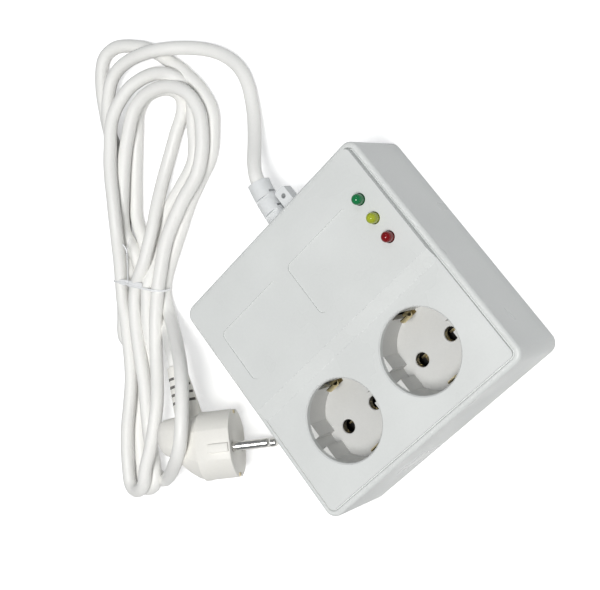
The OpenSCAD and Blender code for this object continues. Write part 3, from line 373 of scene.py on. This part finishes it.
def make_finish(name, group, colour, roughness, scale, mottle, bump, **shader):
    material = bpy.data.materials.new(name)
    material.use_nodes = True
    nodes, links = material.node_tree.nodes, material.node_tree.links
    principled = nodes["Principled BSDF"]
    for socket, value in shader.items():
        principled.inputs[socket.replace("_", " ")].default_value = value
    finish = nodes.new("ShaderNodeGroup")
    finish.node_tree = group
    for socket, value in (("Colour", (*colour, 1)), ("Roughness", roughness), ("Scale", scale),
                          ("Mottle", mottle)):
        finish.inputs[socket].default_value = value
    # only the sockets' plastic gets painted shade in its pin holes
    if "Painted shade below" in finish.inputs:
        deep = name == "socket_plastic"
        finish.inputs["Painted shade below"].default_value = HOLE_PAINTED_SHADE_FROM if deep else NO_PAINTED_SHADE
    links.new(finish.outputs["Colour"], principled.inputs["Base Color"])
    links.new(finish.outputs["Roughness"], principled.inputs["Roughness"])
    relief = nodes.new("ShaderNodeBump")
    relief.inputs["Strength"].default_value = bump
    relief.inputs["Distance"].default_value = GRAIN_DEPTH
    links.new(finish.outputs["Height"], relief.inputs["Height"])
    links.new(relief.outputs["Normal"], principled.inputs["Normal"])
    return material


# Finishes: colour, roughness, scale of the grain, mottle, strength of the grain
PLASTICS = {
    "housing_plastic": ((0.69, 0.705, 0.695), 0.34, 2600, 0.02, 0.12),
    "base_plastic": ((0.56, 0.58, 0.58), 0.5, 2200, 0.03, 0.3),
    "socket_plastic": ((0.60, 0.60, 0.585), 0.42, 2400, 0.025, 0.2),
    "carrier_plastic": ((0.05, 0.048, 0.045), 0.5, 2200, 0.03, 0.25),
    "relief_plastic": ((0.76, 0.775, 0.78), 0.45, 2400, 0.03, 0.25),
    "plug_plastic": ((0.86, 0.845, 0.80), 0.52, 2600, 0.02, 0.12),
    "cord_plastic": ((0.90, 0.895, 0.87), 0.5, 1500, 0.02, 0.15),
    "relay_case": ((0.05, 0.13, 0.34), 0.35, 2200, 0.05, 0.2),
    "capacitor_case": ((0.6, 0.48, 0.08), 0.4, 1800, 0.05, 0.25),
    "varistor_coat": ((0.06, 0.13, 0.4), 0.32, 1200, 0.08, 0.5),
    "terminal_plastic": ((0.08, 0.2, 0.1), 0.45, 2200, 0.05, 0.3),
    "chip_plastic": ((0.03, 0.03, 0.035), 0.5, 2600, 0.1, 0.4),
    "board_laminate": ((0.04, 0.17, 0.07), 0.35, 1600, 0.08, 0.3),
    "wire_brown": ((0.16, 0.06, 0.03), 0.4, 1500, 0.05, 0.2),
    "wire_blue": ((0.05, 0.12, 0.42), 0.4, 1500, 0.05, 0.2),
    "wire_green_yellow": ((0.32, 0.5, 0.04), 0.4, 1500, 0.05, 0.2),
}
METALS = {
    "contact_brass": ((0.78, 0.66, 0.38), 0.3, 3000, 0.08, 0.12),
    "screw_steel": ((0.55, 0.55, 0.55), 0.32, 3000, 0.06, 0.12),
    "pin_metal": ((0.78, 0.77, 0.74), 0.2, 3600, 0.03, 0.05),
}
# Clear finishes: colour, how much light passes
CLEAR = {
    "green_lens": ((0.01, 0.26, 0.08), 0.3),
    "yellow_lens": ((0.52, 0.6, 0.04), 0.3),
    "red_lens": ((0.32, 0.006, 0.01), 0.35),
    "fuse_glass": ((0.85, 0.88, 0.88), 0.9),
    "tie_plastic": ((0.93, 0.94, 0.95), 0.12),
}
# Roughness, scale of the grain, mottle and strength of the grain of the clear finishes
CLEAR_SURFACE = (0.14, 700, 0.05, 0.05)
CLEAR_IOR = 1.49


def make_finishes():
    moulded = make_moulded_group()
    metal = make_metal_group()
    table = {}
    for name, look in PLASTICS.items():
        table[name] = make_finish(name, moulded, *look)
    for name, look in METALS.items():
        table[name] = make_finish(name, metal, *look, Metallic=1.0)
    for name, (colour, clear) in CLEAR.items():
        table[name] = make_finish(name, moulded, colour, *CLEAR_SURFACE,
                                  Transmission_Weight=clear, IOR=CLEAR_IOR)
    return table


finishes = make_finishes()
material_slots = {p["node"]: p["material_slot"] for p in frame["record"]["subparts"]}
for node_name, part in frame["nodes"].items():
    part.data.materials.clear()
    part.data.materials.append(finishes[material_slots[node_name]])


# ---------------------------------------------------------------- plug

# Made with the face's middle at the origin and the pins along +X, in millimetres
PLUG_FACE = Vector((-98.7, 1.2, 18.0)) * MM
PLUG_TURN = Euler((radians(-8), radians(21.5), radians(-33)), "XYZ")
# Round front: depth, middle across, radius, half the distance between the flats
FRONT = (17.5, 1.8, 17.7, 16.1)
# Recess round each pin: radius, cutter's depth, its middle behind the face
PIN_RECESS = (2.6, 2.0, 0.6)
PIN_OUT = 9.5
# Notches for the earth strips, and the strips in them
NOTCH_LENGTH = 14.6
NOTCH_HALF = 2.8
STRIP_HALF = 2.7
SLEEVE_FROM = Vector((-23.5, 13.0, 0.0)) * MM
SLEEVE_LEAN = 9.0
SLEEVE_LENGTH = 32 * MM
SLEEVE_FOOT = 7.6
SLEEVE_TIP = 4.9
# Sleeve's slots: rows, first row's height, pitch, half height
SLOTS = (4, 13, 4.2, 0.7)
# Faces in this part of the sleeve's length and this far under its surface are slot walls, which
# get painted shade
SLOTTED = (0.3, 0.9)
SLOT_DEEP = 0.45
# Sections of the tapered back: distance behind the face, middle across, half widths
BACK_SECTIONS = (
    (18.4, 1.8, 16.9, 15.4), (21.0, 2.4, 16.4, 13.8), (25.0, 3.8, 15.0, 11.6),
    (29.5, 5.8, 12.8, 9.4), (34.0, 7.6, 10.6, 7.4), (38.0, 8.4, 9.2, 5.6),
    (40.4, 8.5, 7.2, 3.9), (41.6, 8.5, 4.6, 2.2),
)


# A face is picked when its middle is this near the plane, and its normal this square to it
NEAR = 1e-5
FACING = 0.9


def faces_where(piece, test):
    mesh = bmesh.from_edit_mesh(piece.data)
    for face in mesh.faces:
        face.select = test(face)
    mesh.select_flush_mode()
    bmesh.update_edit_mesh(piece.data)


def cut_away(piece, cutter):
    pick(piece)
    cut = piece.modifiers.new("cut", "BOOLEAN")
    cut.operation = "DIFFERENCE"
    cut.solver = "EXACT"
    cut.object = cutter
    bpy.ops.object.modifier_apply(modifier="cut")
    bpy.data.objects.remove(cutter)


def add_block(low, high):
    low, high = Vector(low) * MM, Vector(high) * MM
    bpy.ops.mesh.primitive_cube_add(size=1, location=(low + high) / 2, scale=high - low)
    block = bpy.context.object
    keep_place_in_mesh(block)
    return block


def place_on_plug(piece):
    keep_place_in_mesh(piece)
    piece.rotation_euler = PLUG_TURN
    piece.location = PLUG_FACE
    keep_place_in_mesh(piece)


def soften(piece, width, angle=35, segments=2):
    edges = piece.modifiers.new("edges", "BEVEL")
    edges.width = width
    edges.segments = segments
    edges.limit_method = "ANGLE"
    edges.angle_limit = radians(angle)
    edges.harden_normals = False
    apply_modifiers(piece)


def smooth(piece, angle=35):
    pick(piece)
    bpy.ops.object.shade_smooth_by_angle(angle=radians(angle))


def add_plug_shell():
    deselect()
    at, middle, across, up = FRONT
    bpy.ops.mesh.primitive_cylinder_add(
        vertices=96, radius=across * MM, depth=at * MM, rotation=(0, pi / 2, 0),
        location=(-at / 2 * MM, middle * MM, 0))
    shell = bpy.context.object
    shell.name = "plug_shell"
    keep_place_in_mesh(shell)
    bpy.ops.object.mode_set(mode="EDIT")
    bpy.ops.mesh.select_mode(type="FACE")
    for side in (1, -1):
        bpy.ops.mesh.select_all(action="SELECT")
        bpy.ops.mesh.bisect(plane_co=(0, 0, side * up * MM), plane_no=(0, 0, side),
                            clear_outer=True, use_fill=True)
    # back: each section extruded from the one before it
    for behind, new_middle, new_across, new_up in BACK_SECTIONS:
        end = -at * MM
        faces_where(shell, lambda face: abs(face.calc_center_median().x - end) < NEAR
                    and abs(face.normal.x) > FACING)
        bpy.ops.mesh.extrude_region_move(TRANSFORM_OT_translate={
            "value": ((at - behind) * MM, (new_middle - middle) * MM, 0)})
        bpy.ops.transform.resize(
            value=(1, new_across / across, new_up / up),
            center_override=(-behind * MM, new_middle * MM, 0))
        at, middle, across, up = behind, new_middle, new_across, new_up
    bpy.ops.object.mode_set(mode="OBJECT")
    radius, depth, sunk = PIN_RECESS
    for side, low, high in ((1, 17, 22), (-1, -19, -13.4)):
        cut_away(shell, add_block((-NOTCH_LENGTH, low, -NOTCH_HALF), (1, high, NOTCH_HALF)))
        bpy.ops.mesh.primitive_cylinder_add(
            vertices=32, radius=radius * MM, depth=depth * MM, rotation=(0, pi / 2, 0),
            location=(-sunk * MM, 0, side * PIN_OUT * MM))
        cut_away(shell, bpy.context.object)
    soften(shell, 0.6 * MM, 50, 3)
    smooth(shell, 40)
    place_on_plug(shell)
    return shell


def add_plug_rib(side):
    deselect()
    rib = add_block((-11.5, -2.3, side * 15.7 - 0.5), (-0.8, 2.3, side * 16.8 + 0.5))
    rib.name = "plug_key_rib_upper" if side > 0 else "plug_key_rib_lower"
    soften(rib, 0.5 * MM, 30, 3)
    smooth(rib)
    place_on_plug(rib)
    return rib


def add_earth_strip(side):
    """Brass strip in the plug's side notch, with a pressed bead along it."""
    deselect()
    low, high = (16.9, 18.6) if side > 0 else (-15.1, -13.3)
    strip = add_block((-14.4, low, -STRIP_HALF), (-0.5, high, STRIP_HALF))
    strip.name = "plug_earth_strip_inner" if side > 0 else "plug_earth_strip_outer"
    bpy.ops.object.mode_set(mode="EDIT")
    bpy.ops.mesh.select_mode(type="FACE")
    faces_where(strip, lambda face: face.normal.y * side > FACING)
    bpy.ops.mesh.inset(thickness=1.2 * MM)
    bpy.ops.transform.translate(value=(0, side * 0.35 * MM, 0))
    bpy.ops.object.mode_set(mode="OBJECT")
    soften(strip, 0.25 * MM, 20, 2)
    smooth(strip)
    place_on_plug(strip)
    return strip


def add_plug_sleeve():
    deselect()
    bpy.ops.mesh.primitive_cone_add(
        vertices=48, radius1=SLEEVE_FOOT * MM, radius2=SLEEVE_TIP * MM, depth=SLEEVE_LENGTH,
        location=(0, 0, SLEEVE_LENGTH / 2))
    sleeve = bpy.context.object
    sleeve.name = "plug_sleeve"
    keep_place_in_mesh(sleeve)
    rows, first, pitch, half = SLOTS
    for row in range(rows):
        at = first + pitch * row
        for low_x, high_x in ((-8, -1.2), (1.2, 8)):
            for low_y, high_y in ((-9, -1.4), (1.4, 9)):
                cut_away(sleeve, add_block((low_x, low_y, at - half), (high_x, high_y, at + half)))
    soften(sleeve, 0.3 * MM, 50, 2)
    smooth(sleeve, 40)
    # the slots' walls are marked, and the finish darkens them with painted shade
    shade = sleeve.data.attributes.new("slot_painted_shade", "FLOAT", "FACE")
    for face in sleeve.data.polygons:
        along = face.center.z / SLEEVE_LENGTH
        surface = (SLEEVE_FOOT + (SLEEVE_TIP - SLEEVE_FOOT) * along) * MM
        deep = face.center.xy.length < surface - SLOT_DEEP * MM
        shade.data[face.index].value = float(deep and SLOTTED[0] < along < SLOTTED[1])
    sleeve.rotation_euler = (-pi / 2, 0, radians(SLEEVE_LEAN))
    sleeve.location = SLEEVE_FROM
    place_on_plug(sleeve)
    return sleeve


# ---------------------------------------------------------------- tie

# The band's loop round the turns at the waist: across the hank, height, along it
TIE_LOOP = (
    (-21.3, 3.6, 0), (-19.9, 7.2, 0.2), (-16.4, 11.9, 0.4), (-13, 14.1, 0.5), (-8, 14.6, 0.2),
    (-3, 15.4, -0.6), (3, 15.3, -1.6), (9, 14.9, -2.4), (13.4, 14.8, -2.8), (16.2, 12.8, -3),
    (16.9, 9.4, -3), (15.6, 4, -2.6), (13.4, 1.3, -2), (8, 0.8, -1.4), (0, 0.8, -0.8),
    (-9, 0.8, -0.4), (-18.4, 1.1, 0),
)
TIE_FILM = (
    (-5.4, 14.2, 0.2), (-3.4, 15.2, 0), (-0.6, 15.4, -0.2), (2.4, 15.3, -0.5), (5.6, 15.1, -0.9),
)
TIE_KNOT = (
    (-11.2, 14.6, 0.4), (-9.6, 14.9, 1.2), (-7.4, 14.7, 1.4), (-5.6, 14.6, 0.6),
    (-6.2, 14.9, -0.4), (-8.4, 14.9, -0.2), (-10.4, 14.7, 0.2),
)
TIE_TAIL = (
    (-4.7, 14.7, 0.4), (-4.7, 14.6, 3), (-5.0, 14.2, 7), (-5.3, 14.1, 12), (-5.4, 14.4, 17),
    (-6.0, 15.0, 19.4), (-7.4, 15.9, 21.4),
)
TIE_FORK = ((-5.3, 14.3, 12.6), (-5.1, 14.6, 17), (-4.2, 14.9, 20.4), (-2.8, 15.1, 24.4))
# Each bit with its width and thickness
TIE_BITS = (
    ("tie_band", TIE_LOOP, 1.2, 0.6),
    ("tie_film", TIE_FILM, 3.4, 0.3),
    ("tie_knot", TIE_KNOT, 1.3, 0.7),
    ("tie_tail", TIE_TAIL, 1.1, 0.5),
    ("tie_fork", TIE_FORK, 1.0, 0.45),
)


def lay_on_hank(piece):
    """Turns a piece made across X and up Y so that it stands across the hank at its waist."""
    keep_place_in_mesh(piece)
    turn = radians(HANK_TURN)
    along = Vector((cos(turn), sin(turn), 0))
    across = Vector((sin(turn), -cos(turn), 0))
    up = Vector((0, 0, 1))
    lie = Matrix((across, up, along)).transposed().to_4x4()
    piece.matrix_world = Matrix.Translation(TIE_PLACE) @ lie
    keep_place_in_mesh(piece)


def add_ribbon(name, points, width, thick, closed):
    deselect()
    bpy.ops.curve.primitive_bezier_curve_add(location=(0, 0, 0))
    ribbon = bpy.context.object
    ribbon.name = name
    spline = ribbon.data.splines[0]
    spline.bezier_points.add(len(points) - 2)
    for point, (x, y, z) in zip(spline.bezier_points, points):
        point.handle_left_type = point.handle_right_type = "AUTO"
        point.co = Vector((x, y, z)) * MM
    spline.use_cyclic_u = closed
    spline.resolution_u = 6
    ribbon.data.dimensions = "3D"
    ribbon.data.fill_mode = "FULL"
    ribbon.data.extrude = (width - thick) / 2 * MM
    ribbon.data.bevel_depth = thick / 2 * MM
    ribbon.data.bevel_resolution = 2
    ribbon.data.use_fill_caps = not closed
    bpy.ops.object.convert(target="MESH")
    return bpy.context.object


def add_tie():
    bits = []
    for name, points, width, thick in TIE_BITS:
        bit = add_ribbon(name, points, width, thick, points is TIE_LOOP)
        lay_on_hank(bit)
        bits.append(bit)
    tie = bits[0]
    pick(tie)
    for bit in bits:
        bit.select_set(True)
    bpy.ops.object.join()
    smooth(tie, 60)
    tie.name = "hank_tie"
    return tie


plug_shell = add_plug_shell()
key_ribs = [add_plug_rib(1), add_plug_rib(-1)]
earth_strips = [add_earth_strip(1), add_earth_strip(-1)]
plug_sleeve = add_plug_sleeve()
hank_tie = add_tie()
dress(plug_shell, finishes["plug_plastic"], "plug_plastic", "plug_body")
for rib in key_ribs:
    dress(rib, finishes["plug_plastic"], "plug_plastic")
dress(earth_strips[0], finishes["contact_brass"], "contact_brass", "plug_earth_strip")
dress(earth_strips[1], finishes["contact_brass"], "contact_brass")
dress(plug_sleeve, finishes["plug_plastic"], "plug_plastic")
dress(hank_tie, finishes["tie_plastic"], "tie_plastic", "cord_tie")
dress(mains_cord, finishes["cord_plastic"], "cord_plastic",
      "cord_lead", "cord_hank", "cord_bight", "cord_tail")


# ---------------------------------------------------------------- floor and lights

FLOOR_SIZE = 6
FLOOR_HEIGHT = -0.2 * MM
PAPER_GLOW = 0.45
SKY_COLOUR = (0.93, 0.96, 1, 1)
SKY_STRENGTH = 0.2
LAMP_AIM = Vector((0, 0.03, 0))
# Lamps: place, size, watts, colour
LAMPS = {
    "overhead_softbox": ((0.1, -0.25, 1.13), 0.55, 10.9, (1, 0.995, 0.98)),
    "edge_strip": ((0.75, 0.5, 0.95), 0.35, 1.0, (0.86, 0.93, 1)),
}


def add_floor():
    deselect()
    bpy.ops.mesh.primitive_plane_add(size=FLOOR_SIZE, location=(0, 0, FLOOR_HEIGHT))
    floor = bpy.context.object
    floor.name = "studio_floor"
    keep_place_in_mesh(floor)
    paper = bpy.data.materials.new("studio_paper")
    paper.use_nodes = True
    nodes, links = paper.node_tree.nodes, paper.node_tree.links
    shader = nodes["Principled BSDF"]
    shader.inputs["Base Color"].default_value = (0.9, 0.9, 0.9, 1)
    shader.inputs["Roughness"].default_value = 0.8
    shader.inputs["Specular IOR Level"].default_value = 0.1
    shader.inputs["Emission Color"].default_value = (1, 1, 1, 1)
    # the paper looks white to the camera and keeps the shadows
    seen = nodes.new("ShaderNodeLightPath").outputs["Is Camera Ray"]
    links.new(add_math(paper.node_tree, "MULTIPLY", seen, PAPER_GLOW),
              shader.inputs["Emission Strength"])
    floor.data.materials.append(paper)


def add_lamp(name, place, size, watts, colour):
    deselect()
    bpy.ops.object.light_add(type="AREA", location=place)
    lamp = bpy.context.object
    lamp.name = name
    lamp.data.shape = "DISK"
    lamp.data.size = size
    lamp.data.energy = watts
    lamp.data.color = colour
    lamp.rotation_euler = (LAMP_AIM - Vector(place)).to_track_quat("-Z", "Y").to_euler()


def add_sky():
    world = bpy.data.worlds.new("studio_air")
    world.use_nodes = True
    air = world.node_tree.nodes["Background"]
    air.inputs["Color"].default_value = SKY_COLOUR
    air.inputs["Strength"].default_value = SKY_STRENGTH
    bpy.context.scene.world = world


add_floor()
for lamp_name, lamp_look in LAMPS.items():
    add_lamp(lamp_name, *lamp_look)
add_sky()
bpy.context.scene.view_settings.view_transform = "Standard"
